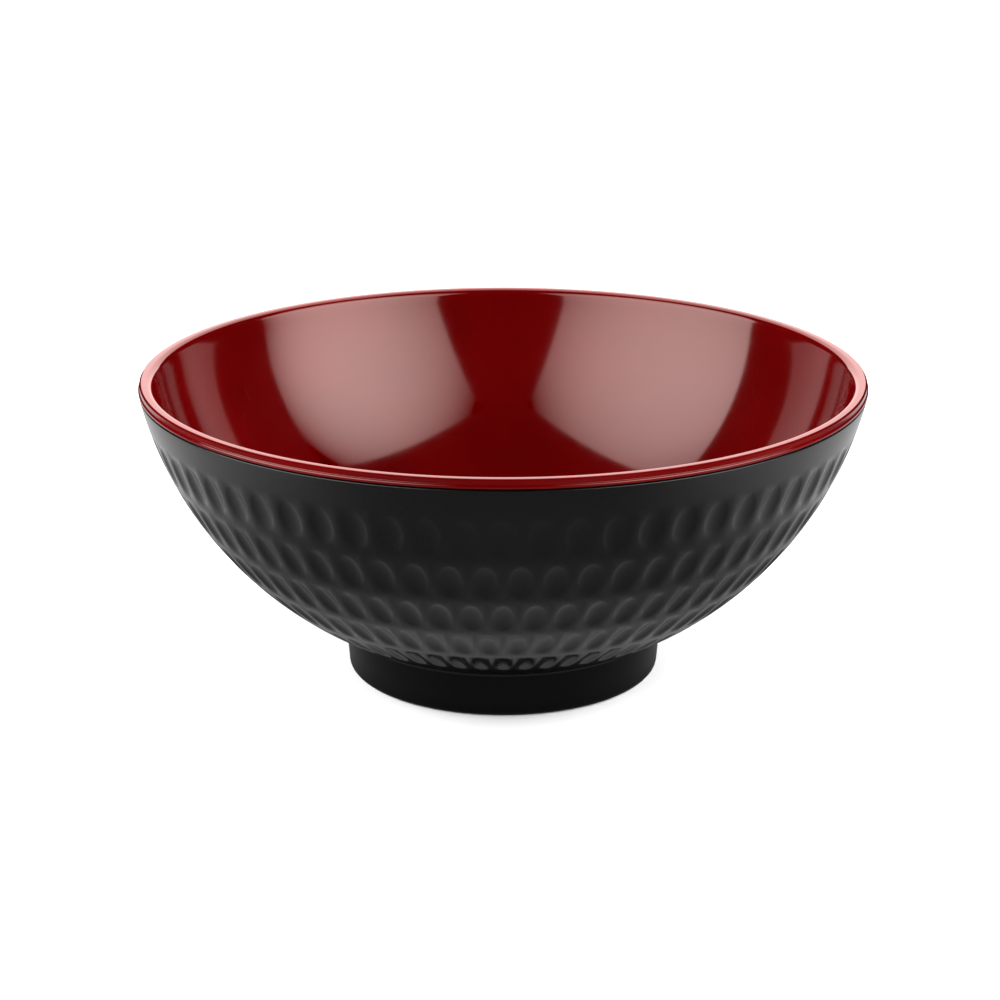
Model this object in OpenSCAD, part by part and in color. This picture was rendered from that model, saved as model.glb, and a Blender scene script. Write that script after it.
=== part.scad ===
// Two-tone melamine noodle bowl: a black outer shell with a dimpled wall and a foot ring,
// and a red inner liner whose rim bead turns over the shell's top edge.
// Millimetres, +Z up, origin at the centre of the circle that the foot stands on, front at -Y.
// Sections are drawn with the radius along X and the height along Y.

/* [Bowl] */
// Outer diameter at the rim
rim_d = 200; // [180:1:230]
// Height from the table to the crest of the rim
bowl_h = 85; // [76:0.5:100]
// Thickness of the black outer layer
shell_t = 2.3; // [1.8:0.1:3.2]
// Thickness of the red inner layer
liner_t = 1.9; // [1.4:0.1:2.8]

/* [Floor] */
// Thickness of the floor, both layers together
floor_t = 5; // [4:0.1:7]
// Radius of the inside curve that joins the floor to the wall
floor_blend_r = 60; // [40:1:70]

/* [Foot] */
// Height of the foot ring, from the table to where its side runs into the wall
foot_h = 12.5; // [11:0.1:15]
// Diameter of the foot ring at the table, before its edge is rounded
foot_base_d = 87; // [82:1:94]
// Lean of the foot ring's side, in degrees
foot_draft = 4.5; // [1:0.5:8]
// Width of the foot ring at the table
foot_w = 6; // [5:0.5:9]
// Rounding of the foot ring's edges at the table
foot_edge_r = 2; // [0.8:0.1:2.2]
// How far the ceiling of the recess under the bowl lies below the foot's top
recess_drop = 6.5; // [5.5:0.1:7]
// Lean of the recess's side, in degrees
recess_draft = 6; // [2:1:12]
// Rounding of the corner between the recess's side and its ceiling
recess_edge_r = 2; // [0.5:0.1:3]

/* [Rim] */
// Height of the red band below the crest of the rim
lip_h = 2.35; // [2:0.05:5]
// Width of the fine groove between the red band and the black shell
groove_w = 0.6; // [0.3:0.1:1]

/* [Dimples] */
// Rows of dimples
dimple_rows = 5; // [1:1:5]
// Dimples in a row
dimple_count = 64; // [48:2:72]
// Distance down the wall from the groove to the middle of the top row
dimple_start = 15; // [12:0.2:18]
// Distance down the wall from one row to the next
row_pitch = 15; // [13.5:0.1:15.5]
// Length of a dimple down the wall
dimple_len = 12.6; // [9:0.2:13]
// Share of a row that its dimples take up, the rest being the lands between them
dimple_fill = 0.78; // [0.6:0.01:0.82]
// Depth of a dimple
dimple_depth = 0.6; // [0.45:0.05:0.9]

/* [Hidden] */
$fn = 180;

// Foot ring's side, from its edge at the table up to the wall
foot_base_r = foot_base_d / 2;
foot_base = [foot_base_r, 0];
foot_top = [foot_base_r + foot_h * tan(foot_draft), foot_h];
foot_side = unit(foot_top - foot_base);
// How deep the foot ring runs into the wall
foot_bury = shell_t / 2;

// Wall and rim bead: both layers are balls about one centre, the bead rounds off their ends, and
// the outside of the wall runs down to the top of the foot
wall_t = shell_t + liner_t;
bead_r = wall_t / 2;
bead_centre = [rim_d / 2 - bead_r, bowl_h - bead_r];
wall_centre = ball_centre(bead_centre, foot_top, bead_r);
outer_r = norm(bead_centre - wall_centre) + bead_r;
inner_r = outer_r - wall_t;
bead_ray = unit(bead_centre - wall_centre);
lip_z = bowl_h - lip_h;

// Recess inside the foot ring
recess_h = foot_h - recess_drop;
recess_base_r = foot_base_r - foot_w;
recess_top_r = recess_base_r - recess_h * tan(recess_draft);

// Inside: the floor's blend touches the floor and the inside of the wall
floor_h = recess_h + floor_t;
blend_z = floor_h + floor_blend_r;
blend_centre = [other_leg(inner_r - floor_blend_r, wall_centre[1] - blend_z), blend_z];
blend_ray = unit(blend_centre - wall_centre);

// Dimples: a place down the wall is an angle about the wall's centre, measured from straight down
groove_angle = acos((wall_centre[1] - lip_z) / outer_r);
// How far the tool that presses a dimple stands out of the wall, and past the dimple's ends
tool_back = 0.15;
tool_margin = 0.4;

// How far a rounding runs past the faces that it joins, so that it meets them cleanly
overrun = 0.01;

function unit(v) = v / norm(v);

// Leg of a right-angled triangle, from its longest side and its other leg
function other_leg(long_side, leg) = sqrt(long_side * long_side - leg * leg);

// Height of an arc over its chord
function sagitta(half_chord, r) = r - other_leg(r, half_chord);

// Radius of the arc that spans a chord with a given height over it
function arc_radius(half_chord, height) = (half_chord * half_chord + height * height) / (2 * height);

// Point on the axis that is further from q than from p by a gap
function ball_centre(p, q, gap) =
    let (
        rise = 2 * (p[1] - q[1]),
        shift = q * q - p * p - gap * gap,
        a = rise * rise - 4 * gap * gap,
        b = rise * shift + 4 * gap * gap * p[1],
        c = shift * shift - 4 * gap * gap * (p * p)
    )
    [0, (sqrt(b * b - a * c) - b) / a];

// Radius of the bowl's outside at a height near the rim
function rim_r(z) =
    z > bead_centre[1] + bead_r * bead_ray[1]
        ? bead_centre[0] + other_leg(bead_r, z - bead_centre[1])
        : other_leg(outer_r, z - wall_centre[1]);

// Angle about the wall's centre of a place down the wall from the groove
function wall_angle(distance) = groove_angle - distance / outer_r * 180 / PI;

// What a rounding takes off a sharp corner at p, whose edges run to a and b
module corner_waste(p, a, b, r) {
    u = unit(a - p);
    v = unit(b - p);
    half = acos(u * v) / 2;
    centre = p + unit(u + v) * r / sin(half);
    to_a = p + u * r / tan(half) - centre;
    to_b = p + v * r / tan(half) - centre;
    translate(centre)
        difference() {
            polygon([[0, 0], 2 * to_a, 2 * (p - centre), 2 * to_b]);
            circle(r + overrun);
        }
}

// Space inside the bowl, grown by a layer's thickness
module inside_section(layer_t) {
    difference() {
        intersection() {
            translate(wall_centre) circle(inner_r + layer_t);
            translate([0, floor_h - layer_t]) square([rim_d, bowl_h]);
        }
        translate(blend_centre)
            difference() {
                polygon([[0, 0], [0, -rim_d], blend_ray * rim_d]);
                circle(floor_blend_r + layer_t + overrun);
            }
    }
}

// Solid base that the foot ring is cut from, with rounded edges; its top lies inside the wall
module foot_section() {
    base_in = [recess_base_r, 0];
    ceiling = [recess_top_r, recess_h];
    block_top = foot_top + foot_side * foot_bury;
    difference() {
        polygon([[0, 0], foot_base, block_top, [0, block_top[1]]]);
        difference() {
            polygon([[0, -recess_h], 2 * base_in - ceiling, ceiling, [0, recess_h]]);
            corner_waste(ceiling, base_in, [0, recess_h], recess_edge_r);
        }
        corner_waste(base_in, foot_base, ceiling, foot_edge_r);
        corner_waste(foot_base, base_in, foot_top, foot_edge_r);
    }
}

// Section of the whole bowl, both layers together
module bowl_section() {
    wall_start = (recess_h + foot_h) / 2;
    difference() {
        union() {
            intersection() {
                translate(wall_centre) circle(outer_r);
                polygon([
                    [0, wall_start],
                    [rim_d, wall_start],
                    bead_centre + bead_ray * rim_d,
                    bead_centre - bead_ray * wall_t,
                    [0, bowl_h]
                ]);
            }
            foot_section();
        }
        inside_section(0);
    }
    translate(bead_centre) circle(bead_r + overrun);
}

// What belongs to the liner: a layer inside the bowl, and all of the rim above the groove
module liner_zone() {
    inside_section(liner_t);
    translate([0, lip_z]) square([rim_d, bowl_h]);
}

// Fine groove where the red band meets the black shell, open to the outside
module groove() {
    translate([rim_r(lip_z) - groove_w / 2, lip_z])
        polygon([[0, 0], [groove_w, groove_w], [groove_w, -groove_w]]);
}

// Tool that presses one dimple: a slice of a ring, rounded along and across to suit the dimple
module dimple_tool(lean, half_len, half_w) {
    along_r = arc_radius(half_len, dimple_depth - sagitta(half_len, outer_r));
    across_r = arc_radius(half_w, dimple_depth - sagitta(half_w, outer_r));
    half_turn = asin((half_len + tool_margin) / along_r);
    ring_out = outer_r - dimple_depth + along_r;
    translate([ring_out * sin(lean), 0, wall_centre[1] - ring_out * cos(lean)])
        rotate([90, 0, 0])
            rotate(90 + lean - half_turn)
                rotate_extrude(angle = 2 * half_turn)
                    intersection() {
                        translate([along_r - across_r, 0]) circle(across_r);
                        translate([along_r, 0])
                            square(2 * [dimple_depth + tool_back, across_r], center = true);
                    }
}

// Staggered rows of dimples, with one at the front in every second row
module dimples() {
    step = 360 / dimple_count;
    for (row = [0 : dimple_rows - 1]) {
        lean = wall_angle(dimple_start + row * row_pitch);
        half_w = PI * outer_r * sin(lean) / dimple_count * dimple_fill;
        for (i = [0 : dimple_count - 1])
            rotate(-90 + (i + row % 2 / 2) * step) dimple_tool(lean, dimple_len / 2, half_w);
    }
}

module outer_shell() {
    color([0.09, 0.09, 0.09])
        difference() {
            rotate_extrude()
                difference() {
                    bowl_section();
                    liner_zone();
                    groove();
                }
            dimples();
        }
}

module inner_liner() {
    color([0.62, 0.03, 0.06])
        rotate_extrude()
            difference() {
                intersection() {
                    bowl_section();
                    liner_zone();
                }
                groove();
            }
}

outer_shell();
inner_liner();
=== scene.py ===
"""Two-tone melamine noodle bowl: a satin black shell with staggered rows of dimples and a foot ring,
and a glossy red liner whose lip turns over the shell's edge, on a pale studio floor."""
import math

import bmesh
import bpy
from mathutils import Matrix, Vector


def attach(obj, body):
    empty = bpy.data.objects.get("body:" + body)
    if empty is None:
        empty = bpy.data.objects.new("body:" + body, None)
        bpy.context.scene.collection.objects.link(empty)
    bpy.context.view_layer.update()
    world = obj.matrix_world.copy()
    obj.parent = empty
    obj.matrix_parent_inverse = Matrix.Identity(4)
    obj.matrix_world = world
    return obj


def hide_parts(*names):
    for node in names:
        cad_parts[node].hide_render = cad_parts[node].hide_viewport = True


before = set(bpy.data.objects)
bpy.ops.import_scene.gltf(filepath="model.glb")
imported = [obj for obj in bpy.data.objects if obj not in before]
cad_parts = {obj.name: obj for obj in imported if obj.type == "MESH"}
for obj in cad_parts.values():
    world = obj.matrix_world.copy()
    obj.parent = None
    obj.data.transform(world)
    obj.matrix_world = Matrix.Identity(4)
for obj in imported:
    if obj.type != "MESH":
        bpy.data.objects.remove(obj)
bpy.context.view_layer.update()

bl_info = {
    "name": "Melamine Bowl",
    "version": (1, 0, 0),
    "blender": (4, 5, 0),
    "location": "View3D > Sidebar > Bowl",
    "description": "Builds a two-tone melamine bowl, its finishes and its studio",
    "category": "Add Mesh",
}

BODY = "root"
SHELL_NODE, LINER_NODE = "outer_shell", "inner_liner"
MM = 0.001
# Columns of faces round one dimple's step, and the rings of a dimple from its edge inwards
CELL_COLUMNS = 4
DIMPLE_RINGS = (1.0, 0.88, 0.55)
# How full a dimple's hollow is: 2 for an arc, more for steeper sides and a flatter floor
DIMPLE_BOWL = 2.5
# Columns of faces round the liner
LINER_COLUMNS = 320
# Points closer than this are joined
WELD = 0.02 * MM
# Edges that bend more than this stay sharp
SHARP_BEND = math.radians(50.0)
# Gap between the two layers where they are bonded
BOND_GAP = 0.1 * MM
# Camera that takes the photograph's view, and the point that it looks at
CAMERA_PLACE = (0.0, -0.7119, 0.2786)
CAMERA_TARGET = (-0.00089, 0.0, 0.04755)
SENSOR_WIDTH = 36.0
# Point in the bowl's mouth that all the lamps face
LAMP_TARGET = (0.0, 0.0, 0.08)
# Softboxes: distance from the bowl, shares of glow lost at the two ends of their height, and how much
# brighter the right one is
SOFTBOX_DISTANCE = 0.70
SOFTBOX_UP_LOSS = (0.35, 0.50)
SOFTBOX_RIGHT_GAIN = 1.15
# Panel behind the bowl and the card just in front of it: direction in degrees, spans and distances
BEHIND = (180.0, 40.0, 0.0)
BEHIND_ACROSS = (-0.6, 0.6)
BEHIND_UP = (-1.05, 1.05)
PANEL_DISTANCE = 1.40
CARD_DISTANCE = 1.36
# Fills at the sides: how far round from the front and how high they stand in degrees, distance and spans
FILL_AZIMUTH = 110.0
FILL_ELEVATION = 22.0
FILL_DISTANCE = 1.0
FILL_ACROSS = (-0.3, 0.3)
FILL_UP = (-0.2, 0.2)
# Brightness of the room as the camera itself sees it
SEEN_ROOM_GLOW = 0.95


# Sizes, colours and studio settings

def length(name, description, millimetres):
    """A size in the panel, in metres."""
    return bpy.props.FloatProperty(
        name=name, description=description, default=millimetres * MM, min=0.0, precision=5,
        subtype="DISTANCE", unit="LENGTH",
    )


def angle(name, description, degrees):
    """An angle in the panel."""
    return bpy.props.FloatProperty(
        name=name, description=description, default=math.radians(degrees), min=0.0,
        subtype="ANGLE", unit="ROTATION",
    )


def brightness(name, description, default):
    """A lamp's or a sheet's brightness in the panel."""
    return bpy.props.FloatProperty(name=name, description=description, default=default, min=0.0)


def colour(name, description, default):
    """A colour in the panel, in linear light."""
    return bpy.props.FloatVectorProperty(
        name=name, description=description, default=default, size=3, min=0.0, max=1.0, subtype="COLOR",
    )


class BowlSizes(bpy.types.PropertyGroup):
    """Sizes of the bowl: those of the solids, with a finer lip and deeper dimples."""

    rim_diameter: length("Rim Diameter", "Outer diameter at the rim", 200.0)
    height: length("Height", "Height from the table to the crest of the rim", 85.0)
    shell_thickness: length("Shell Thickness", "Thickness of the black outer layer", 2.3)
    liner_thickness: length("Liner Thickness", "Thickness of the red inner layer", 1.9)
    floor_thickness: length("Floor Thickness", "Thickness of the floor, both layers together", 5.0)
    floor_blend: length("Floor Blend", "Radius of the inside curve from the floor to the wall", 60.0)
    foot_height: length("Foot Height", "Height of the foot ring, from the table to the wall", 12.5)
    foot_base_diameter: length("Foot Base Diameter", "Diameter of the foot ring at the table", 87.0)
    foot_draft: angle("Foot Draft", "Lean of the foot ring's side", 4.5)
    foot_width: length("Foot Width", "Width of the foot ring at the table", 6.0)
    foot_edge: length("Foot Edge", "Rounding of the foot ring's edges at the table", 2.0)
    foot_crease: length("Foot Crease", "Rounding of the crease between the foot ring and the wall", 0.5)
    recess_drop: length("Recess Drop", "How far the recess's ceiling lies below the foot's top", 6.5)
    recess_edge: length("Recess Edge", "Rounding of the recess's inner corner", 2.0)
    recess_draft: angle("Recess Draft", "Lean of the recess's side", 6.0)
    lip_height: length("Lip Height", "Height of the red band below the crest of the rim", 2.35)
    lip_chamfer: length("Lip Chamfer", "Width of the sloping edge between the crest and the band", 0.5)
    lip_round: length("Lip Round", "Rounding of the edge between the crest and its slope", 0.25)
    ledge_height: length("Ledge Height", "Height of the ledge at the foot of the band", 0.65)
    ledge_width: length("Ledge Width", "How far the ledge stands out from the band", 0.4)
    ledge_round: length("Ledge Round", "Rounding of the ledge's edge", 0.35)
    band_round: length("Band Round", "Rounding of the inner corner between the band and the ledge", 0.1)
    lip_edge: length("Lip Edge", "Rounding of the red edge over the groove", 0.12)
    lip_slope: angle("Lip Slope", "How far the sloping faces of the lip lean back from upright", 55.0)
    groove_width: length("Groove Width", "Width of the fine groove under the red band", 0.6)
    groove_edge: length("Groove Edge", "Rounding of the black edge under the groove", 0.12)
    dimple_rows: bpy.props.IntProperty(name="Dimple Rows", description="Rows of dimples", default=5, min=1)
    dimple_count: bpy.props.IntProperty(
        name="Dimple Count", description="Dimples in a row", default=64, min=3
    )
    dimple_start: length("Dimple Start", "Distance down the wall from the groove to the top row", 15.0)
    row_pitch: length("Row Pitch", "Distance down the wall from one row to the next", 15.0)
    dimple_length: length("Dimple Length", "Length of a dimple down the wall", 12.6)
    dimple_depth: length("Dimple Depth", "Depth of a dimple", 0.8)
    dimple_fill: bpy.props.FloatProperty(
        name="Dimple Fill", description="Share of a row that its dimples take up", default=0.78,
        min=0.1, max=0.95, subtype="FACTOR",
    )


class BowlColours(bpy.types.PropertyGroup):
    """Colours of the two layers, of the studio floor and of the card behind the bowl."""

    black_deep: colour("Black Deep", "Darker tone of the black layer", (0.0007, 0.0007, 0.0008))
    black_soft: colour("Black Soft", "Lighter tone of the black layer", (0.0018, 0.0018, 0.0019))
    black_rubbed: colour("Black Rubbed", "Tone of the foot where it rubs on the table", (0.020, 0.020, 0.021))
    red_deep: colour("Red Deep", "Darker tone of the red layer", (0.0600, 0.0001, 0.0003))
    red_bright: colour("Red Bright", "Lighter tone of the red layer", (0.0820, 0.0003, 0.0006))
    red_sheen: colour("Red Sheen", "Tint of the red layer's gloss", (1.0, 0.70, 0.65))
    card_tint: colour("Card Tint", "Warm tint of the card that the rim mirrors", (1.0, 0.66, 0.64))
    studio_floor: colour("Studio Floor", "Pale floor that the bowl stands on", (0.84, 0.84, 0.84))


class StudioSettings(bpy.types.PropertyGroup):
    """Brightness of the studio's lamps, of the sheet whose glow paints the shade and light that the bowl
    mirrors, and the camera's lens.
    """

    softbox_glow: brightness("Softbox Glow", "Brightness of the two softboxes", 8.0)
    back_glow: brightness("Back Panel Glow", "Brightness of the tall panel behind the bowl", 2.5)
    card_glow: brightness("Card Glow", "Brightness of the card that the rim mirrors", 3.0)
    fill_glow: brightness("Fill Glow", "Brightness of the fills at the bowl's sides", 16.0)
    room_glow: brightness("Room Glow", "Brightness of the dark room around the studio", 0.01)
    # Glow of the mirrored sheet: painted shade at the foot and in front, painted light at the sides
    sheet_shade_near: brightness("Table Near", "Mirrored brightness of the table at the foot", 0.36)
    sheet_shade_front: brightness("Table Front", "Mirrored brightness of the table in front", 0.20)
    sheet_light_sides: brightness("Table Sides", "Mirrored brightness of the table at the sides", 0.90)
    lens: bpy.props.FloatProperty(
        name="Lens", description="Focal length of the camera", default=96.2, min=1.0, unit="CAMERA"
    )


# Section drawing

class SectionPen:
    """Draws a section in the XZ plane, one line or arc after another, as a chain of edges."""

    def __init__(self, start):
        self.bm = bmesh.new()
        self.jump(start)

    def jump(self, start):
        """Starts a new chain at a point."""
        self.tip = self.bm.verts.new(start)

    def line(self, end, steps=1):
        """A straight line to a point, in equal steps."""
        stride = (Vector(end) - self.tip.co) / steps
        for _ in range(steps):
            made = bmesh.ops.extrude_vert_indiv(self.bm, verts=[self.tip])
            self.tip = made["verts"][0]
            bmesh.ops.translate(self.bm, verts=[self.tip], vec=stride)

    def arc(self, centre, angle, steps):
        """An arc about a centre; a positive angle turns from +X towards +Z."""
        made = bmesh.ops.spin(
            self.bm, geom=[self.tip], cent=centre, axis=(0, -1, 0), angle=angle, steps=steps,
            use_merge=False, use_duplicate=False,
        )
        self.tip = next(v for v in made["geom_last"] if isinstance(v, bmesh.types.BMVert))

    def arc_to(self, centre, end, steps):
        """An arc about a centre, the short way round, to the direction of an end point."""
        here = self.tip.co - centre
        there = Vector(end) - centre
        turn = math.atan2(here.x * there.z - here.z * there.x, here.x * there.x + here.z * there.z)
        self.arc(centre, turn, steps)

    def corner(self, corner, onward, radius, steps):
        """A line to a corner that is rounded off towards the next point."""
        corner, onward = Vector(corner), Vector(onward)
        back = (self.tip.co - corner).normalized()
        ahead = (onward - corner).normalized()
        half = back.angle(ahead) / 2
        centre = corner + (back + ahead).normalized() * radius / math.sin(half)
        self.line(corner + back * radius / math.tan(half))
        self.arc_to(centre, corner + ahead * radius / math.tan(half), steps)

    def turned(self, steps):
        """The section turned a full round about the Z axis, as a closed mesh."""
        bmesh.ops.spin(
            self.bm, geom=self.bm.verts[:] + self.bm.edges[:], cent=(0, 0, 0), axis=(0, 0, 1),
            angle=math.tau, steps=steps, use_merge=True, use_duplicate=False,
        )
        weld(self.bm)
        return self.bm


def weld(bm):
    """Joins the points that lie on each other and turns all the faces outwards."""
    bmesh.ops.remove_doubles(bm, verts=bm.verts[:], dist=WELD)
    bmesh.ops.recalc_face_normals(bm, faces=bm.faces[:])


def ball_height(near, far, gap):
    """Height of the point on the axis that is further from one point than from another by a gap."""
    rise = 2 * (near.z - far.z)
    shift = far.length_squared - near.length_squared - gap ** 2
    a = rise ** 2 - 4 * gap ** 2
    b = rise * shift + 4 * gap ** 2 * near.z
    c = shift ** 2 - 4 * gap ** 2 * near.length_squared
    return (math.sqrt(b ** 2 - a * c) - b) / a


class BowlSection:
    """Measures of the bowl's section: radius along X, height along Z."""

    def __init__(self, sizes):
        wall = sizes.shell_thickness + sizes.liner_thickness
        self.bead_radius = wall / 2
        self.bead = Vector((sizes.rim_diameter / 2 - self.bead_radius, 0, sizes.height - self.bead_radius))
        foot_spread = sizes.foot_height * math.tan(sizes.foot_draft)
        self.foot_base = Vector((sizes.foot_base_diameter / 2, 0, 0))
        self.foot_top = self.foot_base + Vector((foot_spread, 0, sizes.foot_height))
        self.ball = Vector((0, 0, ball_height(self.bead, self.foot_top, self.bead_radius)))
        self.outer_radius = (self.bead - self.ball).length + self.bead_radius
        self.bond_radius = self.outer_radius - sizes.shell_thickness
        self.inner_radius = self.bond_radius - sizes.liner_thickness
        self.lip_z = sizes.height - sizes.lip_height
        self.recess_z = sizes.foot_height - sizes.recess_drop
        self.floor_z = self.recess_z + sizes.floor_thickness
        blend_z = self.floor_z + sizes.floor_blend
        reach = self.inner_radius - sizes.floor_blend
        self.blend = Vector((math.sqrt(reach ** 2 - (self.ball.z - blend_z) ** 2), 0, blend_z))

    def on_ball(self, radius, height):
        """The point of a ball about the wall's centre at a height."""
        return Vector((math.sqrt(radius ** 2 - (height - self.ball.z) ** 2), 0, height))

    def lean(self, radius, height):
        """Angle of a height on the wall, about the wall's centre, from straight down."""
        return math.acos((self.ball.z - height) / radius)

    def row_lean(self, sizes, row):
        """Angle of the middle of a row of dimples, about the wall's centre, from straight down."""
        down = sizes.dimple_start + row * sizes.row_pitch
        return self.lean(self.outer_radius, self.lip_z) - down / self.outer_radius

    def wall_point(self, lean, turn, depth=0.0):
        """The place on the wall's outside at an angle from straight down and a turn from the front."""
        ray = Vector((math.sin(lean) * math.sin(turn), -math.sin(lean) * math.cos(turn), -math.cos(lean)))
        return self.ball + ray * (self.outer_radius - depth)


# Node helpers

class Value:
    """One value among the nodes; sums, differences and products of values add Math nodes."""

    def __init__(self, nodes, socket):
        self.nodes = nodes
        self.socket = socket

    def maths(self, operation, first, second):
        return self.nodes.add("ShaderNodeMath", {"operation": operation}, {0: first, 1: second})

    def __add__(self, other):
        return self.maths("ADD", self, other)

    def __radd__(self, other):
        return self.maths("ADD", other, self)

    def __sub__(self, other):
        return self.maths("SUBTRACT", self, other)

    def __rsub__(self, other):
        return self.maths("SUBTRACT", other, self)

    def __mul__(self, other):
        return self.maths("MULTIPLY", self, other)

    def __rmul__(self, other):
        return self.maths("MULTIPLY", other, self)


class Nodes:
    """Shader nodes of a finish, of a light or of the room, under construction."""

    def __init__(self, owner):
        owner.use_nodes = True
        self.tree = owner.node_tree
        self.tree.nodes.clear()

    def add(self, kind, settings=None, sockets=None, output=0):
        """Adds any node: its settings first, then the values or links of its sockets."""
        made = self.tree.nodes.new(kind)
        for key, value in (settings or {}).items():
            setattr(made, key, value)
        for key, value in (sockets or {}).items():
            if isinstance(value, Value):
                self.tree.links.new(value.socket, made.inputs[key])
            else:
                made.inputs[key].default_value = value
        return Value(self, made.outputs[output]) if made.outputs else None

    def object_place(self):
        """Place on the piece, in metres."""
        return self.add("ShaderNodeTexCoord", output="Object")

    def part(self, vector, axis):
        """One of the three numbers of a vector."""
        return self.add("ShaderNodeSeparateXYZ", {}, {"Vector": vector}, output=axis)

    def noise(self, place, scale, detail=2.0, roughness=0.5):
        """Smooth noise from 0 to 1, with a number of waves to the metre."""
        return self.add(
            "ShaderNodeTexNoise", {"noise_dimensions": "3D"},
            {"Vector": place, "Scale": scale, "Detail": detail, "Roughness": roughness},
        )

    def span(self, value, low, high, start=0.0, end=1.0):
        """One number below a low value, another above a high one, smooth between them."""
        return self.add(
            "ShaderNodeMapRange", {"interpolation_type": "SMOOTHSTEP"},
            {"Value": value, "From Min": low, "From Max": high, "To Min": start, "To Max": end},
        )

    def edge_loss(self, along, ends):
        """What a lamp loses towards its two ends, from its place along it between 0 and 1."""
        back = 1.0 - along
        return back * back * back * ends[0] + along * along * along * ends[1]

    def blend(self, factor, first, second):
        """A colour between two."""
        tones = [tone if isinstance(tone, Value) else (*tone, 1.0) for tone in (first, second)]
        # The colour sockets of a Mix node have these numbers, because its names occur more than once
        sockets = {"Factor": factor, 6: tones[0], 7: tones[1]}
        return self.add("ShaderNodeMix", {"data_type": "RGBA"}, sockets, output=2)

    def bump(self, height, strength, distance, under=None):
        """A bump, on top of another one if there is one under it."""
        sockets = {"Height": height, "Strength": strength, "Distance": distance}
        if under is not None:
            sockets["Normal"] = under
        return self.add("ShaderNodeBump", {}, sockets)

    def shader(self, sockets):
        """A Principled shader."""
        return self.add("ShaderNodeBsdfPrincipled", {}, sockets)

    def finish(self, shader):
        """The shader that a finish ends in."""
        self.add("ShaderNodeOutputMaterial", {}, {"Surface": shader})


# Finishes

def satin_black(colours, sizes):
    """Moulded black melamine: satin with a fine grain on the wall, matt on the foot, rubbed at the table."""
    finish = bpy.data.materials.new("satin_black_melamine")
    nodes = Nodes(finish)
    place = nodes.object_place()
    height = nodes.part(place, "Z")
    grain = nodes.noise(place, 1500.0, 3.0, 0.6)
    cloud = nodes.noise(place, 42.0, 3.0)
    peel = nodes.noise(place, 420.0, 2.0)
    low = nodes.span(height, 0.15 * MM, 0.9 * MM, 1.0, 0.0)
    rubbed = low * nodes.span(nodes.noise(place, 260.0, 4.0), 0.42, 0.62)
    tone = nodes.blend(cloud * 0.55 + grain * 0.45, colours.black_deep, colours.black_soft)
    tone = nodes.blend(rubbed, tone, colours.black_rubbed)
    relief = nodes.bump(peel, 0.10, 0.05 * MM, nodes.bump(grain, 0.10, 0.02 * MM))
    satin = nodes.shader({
        "Base Color": tone,
        "Roughness": 0.12 + grain * 0.06 + cloud * 0.06,
        "IOR": 1.5,
        "Normal": relief,
    })
    matt = nodes.shader({
        "Base Color": tone,
        "Roughness": 0.30 + grain * 0.08 - rubbed * 0.06,
        "IOR": 1.5,
        "Specular IOR Level": 0.10,
        "Normal": relief,
    })
    on_foot = nodes.span(height, sizes.foot_height - 0.5 * MM, sizes.foot_height, 1.0, 0.0)
    nodes.finish(nodes.add("ShaderNodeMixShader", {}, {0: on_foot, 1: satin, 2: matt}))
    return finish


def gloss_red(colours):
    """Polished red melamine: deep and glossy, with the slight waviness of a moulded face."""
    finish = bpy.data.materials.new("gloss_red_melamine")
    nodes = Nodes(finish)
    place = nodes.object_place()
    cloud = nodes.noise(place, 26.0, 3.0)
    haze = nodes.noise(place, 160.0, 4.0, 0.6)
    wave = nodes.noise(place, 38.0, 1.0)
    nodes.finish(nodes.shader({
        "Base Color": nodes.blend(nodes.span(cloud, 0.3, 0.7), colours.red_deep, colours.red_bright),
        "Roughness": 0.05 + haze * 0.05,
        "IOR": 1.6,
        "Specular Tint": (*colours.red_sheen, 1.0),
        "Normal": nodes.bump(wave, 0.05, 0.2 * MM),
    }))
    return finish


def matt_floor(colours):
    """Pale matt studio floor with a barely visible mottle."""
    finish = bpy.data.materials.new("pale_studio_floor")
    nodes = Nodes(finish)
    mottle = nodes.noise(nodes.object_place(), 6.0, 3.0)
    shade = tuple(0.985 * channel for channel in colours.studio_floor)
    nodes.finish(nodes.shader({
        "Base Color": nodes.blend(mottle, shade, colours.studio_floor),
        "Roughness": 0.75,
        "Specular IOR Level": 0.2,
    }))
    return finish


# Building pieces

def add_piece(bm, name, material):
    """Puts a finished bmesh into the scene as a smooth-shaded object at the origin."""
    for face in bm.faces:
        face.smooth = True
    for edge in bm.edges:
        if edge.calc_face_angle(0.0) > SHARP_BEND:
            edge.smooth = False
    mesh = bpy.data.meshes.new(name)
    bm.to_mesh(mesh)
    bm.free()
    mesh.materials.append(material)
    piece = bpy.data.objects.new(name, mesh)
    bpy.context.scene.collection.objects.link(piece)
    return piece


def stand_for(piece, node):
    """Puts a piece under the body and hides the CAD node that it stands for."""
    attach(piece, BODY)
    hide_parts(node)


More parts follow.
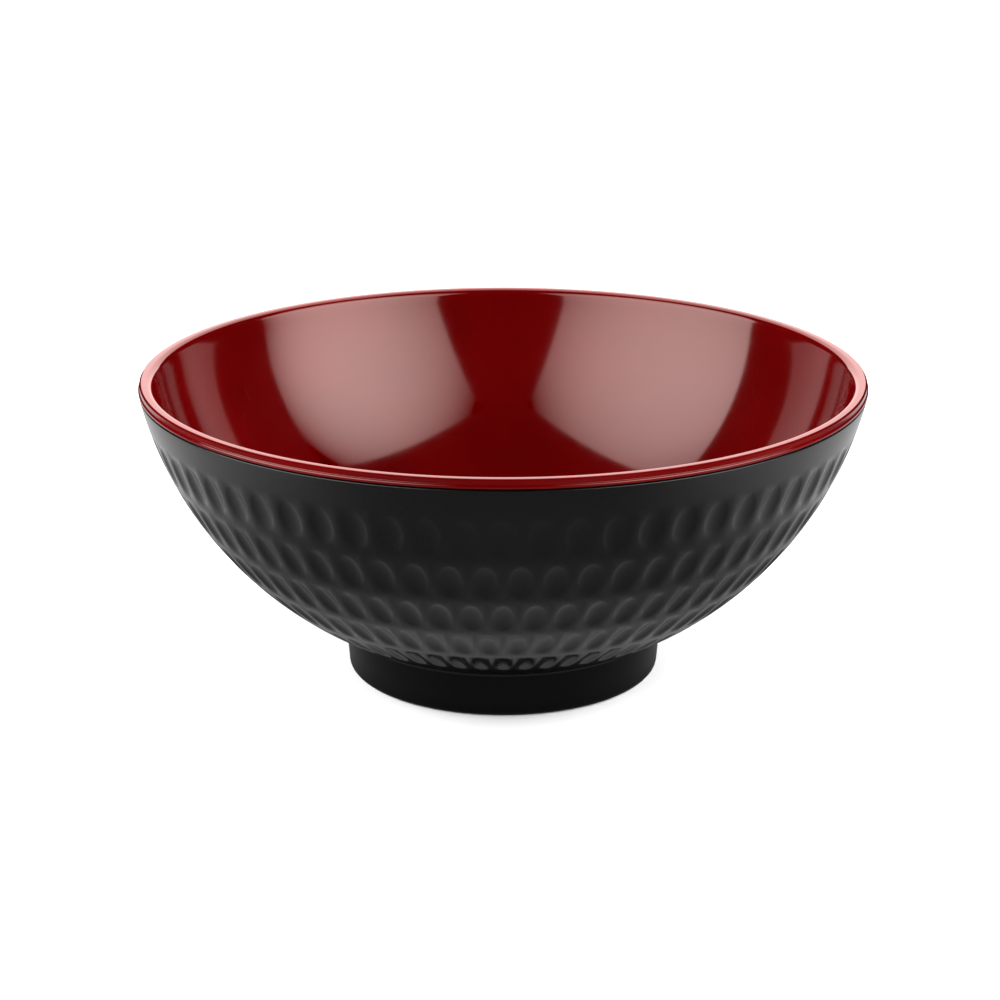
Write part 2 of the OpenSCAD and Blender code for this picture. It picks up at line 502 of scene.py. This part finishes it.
def dimple_cell(sizes, section, row):
    """One dimple in its cell of the wall: a square face, drawn in ring by ring and laid on the ball."""
    row_lean = section.row_lean(sizes, row)
    half_step = math.pi / sizes.dimple_count
    shift = half_step * (row % 2)
    half_pitch = sizes.row_pitch / 2 / section.outer_radius
    half_length = sizes.dimple_length / 2 / section.outer_radius
    half_width = half_step * sizes.dimple_fill * math.sin(row_lean)
    bm = bmesh.new()
    bmesh.ops.create_grid(bm, x_segments=CELL_COLUMNS, y_segments=CELL_COLUMNS, size=1.0)
    face = bmesh.ops.dissolve_faces(bm, faces=bm.faces[:], use_verts=False)["region"][0]
    border = face.verts[:]
    rings = []
    for share in DIMPLE_RINGS:
        face = bmesh.ops.extrude_discrete_faces(bm, faces=[face])["faces"][0]
        rings.append((share, face.verts[:]))
    rings.append((0.0, bmesh.ops.poke(bm, faces=[face])["verts"]))
    for vert in border:
        vert.co = section.wall_point(row_lean + vert.co.y * half_pitch, shift + vert.co.x * half_step)
    for share, verts in rings:
        for vert in verts:
            across, along = vert.co.xy.normalized() * share
            lean = row_lean + along * half_length
            turn = shift + across * half_width / math.sin(lean)
            vert.co = section.wall_point(lean, turn, sizes.dimple_depth * (1.0 - share ** DIMPLE_BOWL))
    return bm


def add_dimple_row(bm, sizes, section, row):
    """A row of dimples in the band that the wall leaves open: one cell, copied round the axis."""
    cell = dimple_cell(sizes, section, row)
    copies = sizes.dimple_count - 1
    bmesh.ops.spin(
        cell, geom=cell.verts[:] + cell.edges[:] + cell.faces[:], cent=(0, 0, 0), axis=(0, 0, 1),
        angle=math.tau * copies / sizes.dimple_count, steps=copies, use_merge=False, use_duplicate=True,
    )
    mesh = bpy.data.meshes.new("dimple_row")
    cell.to_mesh(mesh)
    cell.free()
    bm.from_mesh(mesh)
    bpy.data.meshes.remove(mesh)


class BOWL_OT_outer_shell(bpy.types.Operator):
    """Builds the black outer shell: dimpled wall, foot ring and the recess under it"""

    bl_idname = "bowl.outer_shell"
    bl_label = "Outer Shell"
    bl_options = {"REGISTER", "UNDO"}

    def execute(self, context):
        sizes = context.scene.bowl_sizes
        section = BowlSection(sizes)
        base_out = section.foot_base
        base_in = base_out - Vector((sizes.foot_width, 0, 0))
        recess_spread = section.recess_z * math.tan(sizes.recess_draft)
        ceiling = base_in + Vector((-recess_spread, 0, section.recess_z))
        half_pitch = sizes.row_pitch / 2 / section.outer_radius
        field_low = section.row_lean(sizes, sizes.dimple_rows - 1) - half_pitch
        field_high = section.row_lean(sizes, 0) + half_pitch
        side_on = math.pi / 2
        pen = SectionPen((0, 0, section.recess_z))
        pen.line((ceiling.x / 2, 0, section.recess_z), 2)
        pen.corner(ceiling, base_in, sizes.recess_edge, 4)
        pen.corner(base_in, base_out, sizes.foot_edge, 5)
        pen.corner(base_out, section.foot_top, sizes.foot_edge, 6)
        wall_start = section.on_ball(section.outer_radius, sizes.foot_height + MM)
        pen.corner(section.foot_top, wall_start, sizes.foot_crease, 4)
        pen.line(wall_start)
        pen.arc_to(section.ball, section.wall_point(field_low, side_on), 6)
        pen.jump(section.wall_point(field_high, side_on))
        groove_foot = section.on_ball(section.outer_radius, section.lip_z - sizes.groove_width)
        wall_end = section.on_ball(section.outer_radius, groove_foot.z - MM)
        pen.arc_to(section.ball, wall_end, 5)
        groove_root = Vector((groove_foot.x - sizes.groove_width, 0, section.lip_z - BOND_GAP))
        pen.corner(groove_foot, groove_root, sizes.groove_edge, 4)
        pen.line(groove_root)
        bond = section.bond_radius + BOND_GAP
        bond_top = section.on_ball(bond, section.lip_z - BOND_GAP)
        pen.line(bond_top)
        blend_ray = (section.blend - section.ball).normalized()
        pen.arc_to(section.ball, section.ball + blend_ray * bond, 14)
        bond_floor = section.floor_z - sizes.liner_thickness - BOND_GAP
        pen.arc_to(section.blend, section.blend - Vector((0, 0, 1)), 6)
        pen.line((0, 0, bond_floor), 2)
        bm = pen.turned(sizes.dimple_count * CELL_COLUMNS)
        for row in range(sizes.dimple_rows):
            add_dimple_row(bm, sizes, section, row)
        weld(bm)
        piece = add_piece(bm, "dimpled_shell", satin_black(context.scene.bowl_colours, sizes))
        stand_for(piece, SHELL_NODE)
        return {"FINISHED"}


class BOWL_OT_inner_liner(bpy.types.Operator):
    """Builds the red liner: the inside of the bowl and the lip that turns over the shell's edge"""

    bl_idname = "bowl.inner_liner"
    bl_label = "Inner Liner"
    bl_options = {"REGISTER", "UNDO"}

    def execute(self, context):
        sizes = context.scene.bowl_sizes
        section = BowlSection(sizes)
        down = Vector((0, 0, -1))
        blend_ray = (section.blend - section.ball).normalized()
        bead_ray = (section.bead - section.ball).normalized()
        floor_edge = section.blend + down * sizes.floor_blend
        pen = SectionPen((0, 0, section.floor_z))
        pen.line(floor_edge, 6)
        pen.arc_to(section.blend, section.blend + blend_ray, 14)
        pen.arc_to(section.ball, section.ball + bead_ray, 40)
        pen.arc(section.bead, -math.pi / 2 - math.atan2(bead_ray.z, bead_ray.x), 12)
        edge = Vector((sizes.rim_diameter / 2, 0, section.lip_z))
        ledge = edge + Vector((0, 0, sizes.ledge_height))
        slope = math.tan(sizes.lip_slope)
        band_foot = ledge + Vector((-sizes.ledge_width, 0, sizes.ledge_width / slope))
        crest_edge = Vector((band_foot.x - sizes.lip_chamfer, 0, sizes.height))
        band_top = crest_edge + Vector((sizes.lip_chamfer, 0, -sizes.lip_chamfer / slope))
        pen.corner(crest_edge, band_top, sizes.lip_round, 4)
        pen.line(band_top)
        pen.corner(band_foot, ledge, sizes.band_round, 2)
        pen.corner(ledge, edge, sizes.ledge_round, 5)
        groove_root = edge - Vector((sizes.groove_width, 0, 0))
        pen.corner(edge, groove_root, sizes.lip_edge, 3)
        pen.line(section.on_ball(section.bond_radius, section.lip_z))
        pen.arc_to(section.ball, section.ball + blend_ray, 14)
        pen.arc_to(section.blend, section.blend + down, 6)
        pen.line((0, 0, section.floor_z - sizes.liner_thickness), 2)
        bm = pen.turned(LINER_COLUMNS)
        piece = add_piece(bm, "red_liner", gloss_red(context.scene.bowl_colours))
        stand_for(piece, LINER_NODE)
        return {"FINISHED"}


# Studio

def facing(azimuth, elevation, roll):
    """Axes of a panel that faces the bowl from a direction: across, up and away."""
    away = Vector((
        math.sin(azimuth) * math.cos(elevation),
        -math.cos(azimuth) * math.cos(elevation),
        math.sin(elevation),
    ))
    across = Vector((0, 0, 1)).cross(away).normalized()
    up = away.cross(across)
    turned = Matrix.Rotation(roll, 3, away)
    return turned @ across, turned @ up, away


def add_lamp(name, direction, distance, across_span, up_span, glow, across_loss=(0, 0), up_loss=(0, 0)):
    """A flat rectangular lamp facing the bowl; its spans are measured from the line to the bowl, and the
    losses are the shares of its glow that are lost at its two ends, across and up."""
    across, up, away = facing(*(math.radians(turn) for turn in direction))
    width = across_span[1] - across_span[0]
    tall = up_span[1] - up_span[0]
    light = bpy.data.lights.new(name, "AREA")
    light.shape = "RECTANGLE"
    light.size = width
    light.size_y = tall
    light.energy = glow * math.pi * width * tall
    nodes = Nodes(light)
    place = nodes.add("ShaderNodeNewGeometry", output="Parametric")
    loss_across = nodes.edge_loss(nodes.part(place, "X"), across_loss)
    loss_up = nodes.edge_loss(nodes.part(place, "Y"), up_loss)
    lit = nodes.add("ShaderNodeEmission", {}, {"Strength": 1.0 - loss_across - loss_up})
    nodes.add("ShaderNodeOutputLight", {}, {"Surface": lit})
    lamp = bpy.data.objects.new(name, light)
    middle = Vector(LAMP_TARGET) + away * distance + across * sum(across_span) / 2 + up * sum(up_span) / 2
    turn = Matrix((across, up, away)).transposed().to_4x4()
    lamp.matrix_world = Matrix.Translation(middle) @ turn
    bpy.context.scene.collection.objects.link(lamp)
    return lamp


def painted_reflection_sheet(studio):
    """What the bowl mirrors: a sheet that glows in place of a table, dim near the foot and darker in front as
    painted shade, and bright at the sides as painted light.
    """
    finish = bpy.data.materials.new("painted_reflection_sheet")
    nodes = Nodes(finish)
    place = nodes.object_place()
    aside = nodes.add("ShaderNodeMath", {"operation": "ABSOLUTE"}, {0: nodes.part(place, "X")})
    behind = nodes.add("ShaderNodeMath", {"operation": "MAXIMUM"}, {0: nodes.part(place, "Y"), 1: 0.0})
    away = nodes.add("ShaderNodeVectorMath", {"operation": "LENGTH"}, {0: place}, output="Value")
    # In front the painted glow fades with the distance from the foot, first fast and then slowly, as painted
    # shade
    front = nodes.span(away, 0.046, 0.120, studio.sheet_shade_near, studio.sheet_shade_front)
    front = front * nodes.span(away, 0.120, 0.450, 1.0, 0.36)
    # At the sides it glows bright as painted light, but not far out and not far in front
    sides = nodes.span(aside + behind * 0.4, 0.060, 0.240)
    sides = sides * nodes.span(aside - behind * 0.5, 0.210, 0.290, 1.0, 0.1)
    sides = sides * nodes.span(nodes.part(place, "Y"), -0.200, -0.110, 0.1, 1.0)
    # Right at the foot the glow is dimmed further: painted shade of the bowl
    glow = (front + sides * (studio.sheet_light_sides - front)) * nodes.span(away, 0.044, 0.050, 0.6, 1.0)
    shine = nodes.blend(glow, (0.0, 0.0, 0.0), (1.0, 1.0, 1.0))
    nodes.finish(nodes.shader({
        "Base Color": (0.0, 0.0, 0.0, 1.0),
        "Specular IOR Level": 0.0,
        "Emission Color": shine,
        "Emission Strength": 1.0,
    }))
    return finish


def add_room(studio):
    """A dark room, which the camera itself sees as pale."""
    world = bpy.data.worlds.new("studio_room")
    nodes = Nodes(world)
    room = nodes.add("ShaderNodeBackground", {}, {"Strength": studio.room_glow})
    pale = nodes.add("ShaderNodeBackground", {}, {"Strength": SEEN_ROOM_GLOW})
    seen = nodes.add("ShaderNodeLightPath", output="Is Camera Ray")
    both = nodes.add("ShaderNodeMixShader", {}, {0: seen, 1: room, 2: pale})
    nodes.add("ShaderNodeOutputWorld", {}, {"Surface": both})
    bpy.context.scene.world = world


def add_sheet(name, material):
    """A wide flat sheet under the bowl, as part of the stage."""
    bm = bmesh.new()
    bmesh.ops.create_grid(bm, x_segments=8, y_segments=8, size=6.0)
    sheet = add_piece(bm, name, material)
    return sheet


class BOWL_OT_stage(bpy.types.Operator):
    """Sets the pale floor, the glowing sheet with the painted shade and light that the bowl mirrors, the
    lamps and the camera
    """

    bl_idname = "bowl.stage"
    bl_label = "Stage"
    bl_options = {"REGISTER", "UNDO"}

    def execute(self, context):
        scene = context.scene
        studio = scene.bowl_studio
        floor = add_sheet("studio_floor", matt_floor(scene.bowl_colours))
        floor.visible_glossy = False
        # A glowing sheet that only reflections see, with painted shade and painted light, stands in for the
        # floor in the bowl's gloss
        table = add_sheet("painted_reflection_sheet", painted_reflection_sheet(studio))
        table.visible_camera = False
        table.visible_diffuse = False
        table.visible_transmission = False
        table.visible_volume_scatter = False
        table.visible_shadow = False
        # The softboxes' directions and spans put their images where the photograph has them
        add_lamp(
            "softbox_right", (47.3, 24.5, 2.0), SOFTBOX_DISTANCE, (-0.286, 0.745), (-0.32, 0.479),
            studio.softbox_glow * SOFTBOX_RIGHT_GAIN, across_loss=(0.60, 0.75), up_loss=SOFTBOX_UP_LOSS,
        )
        add_lamp(
            "softbox_left", (-60.4, 22.4, 5.6), SOFTBOX_DISTANCE, (-0.575, 0.512), (-0.32, 0.527),
            studio.softbox_glow, across_loss=(0.40, 0.58), up_loss=SOFTBOX_UP_LOSS,
        )
        # The panel lights the floor and the bowl, and the card stands in its place for mirrored rays
        back = add_lamp("back_panel", BEHIND, PANEL_DISTANCE, BEHIND_ACROSS, BEHIND_UP, studio.back_glow)
        back.visible_camera = False
        back.visible_glossy = False
        card = add_lamp("rim_card", BEHIND, CARD_DISTANCE, BEHIND_ACROSS, BEHIND_UP, studio.card_glow)
        card.visible_camera = False
        card.visible_diffuse = False
        card.data.color = scene.bowl_colours.card_tint
        for name, azimuth in (("side_fill_right", FILL_AZIMUTH), ("side_fill_left", -FILL_AZIMUTH)):
            direction = (azimuth, FILL_ELEVATION, 0.0)
            fill = add_lamp(name, direction, FILL_DISTANCE, FILL_ACROSS, FILL_UP, studio.fill_glow)
            fill.visible_camera = False
            fill.visible_glossy = False
        add_room(studio)
        lens = bpy.data.cameras.new("photo_camera")
        lens.sensor_width = SENSOR_WIDTH
        lens.lens = studio.lens
        lens.clip_start = 0.01
        camera = bpy.data.objects.new("photo_camera", lens)
        camera.location = CAMERA_PLACE
        aim = Vector(CAMERA_TARGET) - camera.location
        camera.rotation_euler = aim.to_track_quat("-Z", "Y").to_euler()
        scene.collection.objects.link(camera)
        scene.camera = camera
        scene.view_settings.view_transform = "Standard"
        return {"FINISHED"}


class BOWL_PT_panel(bpy.types.Panel):
    """Sizes, colours and build steps of the bowl."""

    bl_idname = "BOWL_PT_panel"
    bl_label = "Melamine Bowl"
    bl_space_type = "VIEW_3D"
    bl_region_type = "UI"
    bl_category = "Bowl"

    def draw(self, context):
        layout = self.layout
        for operator in OPERATORS:
            layout.operator(operator.bl_idname)
        for group in (context.scene.bowl_sizes, context.scene.bowl_colours, context.scene.bowl_studio):
            box = layout.box()
            for key in group.__annotations__:
                box.prop(group, key)


GROUPS = {"bowl_sizes": BowlSizes, "bowl_colours": BowlColours, "bowl_studio": StudioSettings}
OPERATORS = (BOWL_OT_outer_shell, BOWL_OT_inner_liner, BOWL_OT_stage)


def register():
    for key, group in GROUPS.items():
        bpy.utils.register_class(group)
        setattr(bpy.types.Scene, key, bpy.props.PointerProperty(type=group))
    for made in (*OPERATORS, BOWL_PT_panel):
        bpy.utils.register_class(made)


def unregister():
    for made in (BOWL_PT_panel, *reversed(OPERATORS)):
        bpy.utils.unregister_class(made)
    for key, group in GROUPS.items():
        delattr(bpy.types.Scene, key)
        bpy.utils.unregister_class(group)


def main():
    register()
    bpy.ops.bowl.outer_shell()
    bpy.ops.bowl.inner_liner()
    bpy.ops.bowl.stage()


if __name__ == "__main__":
    main()
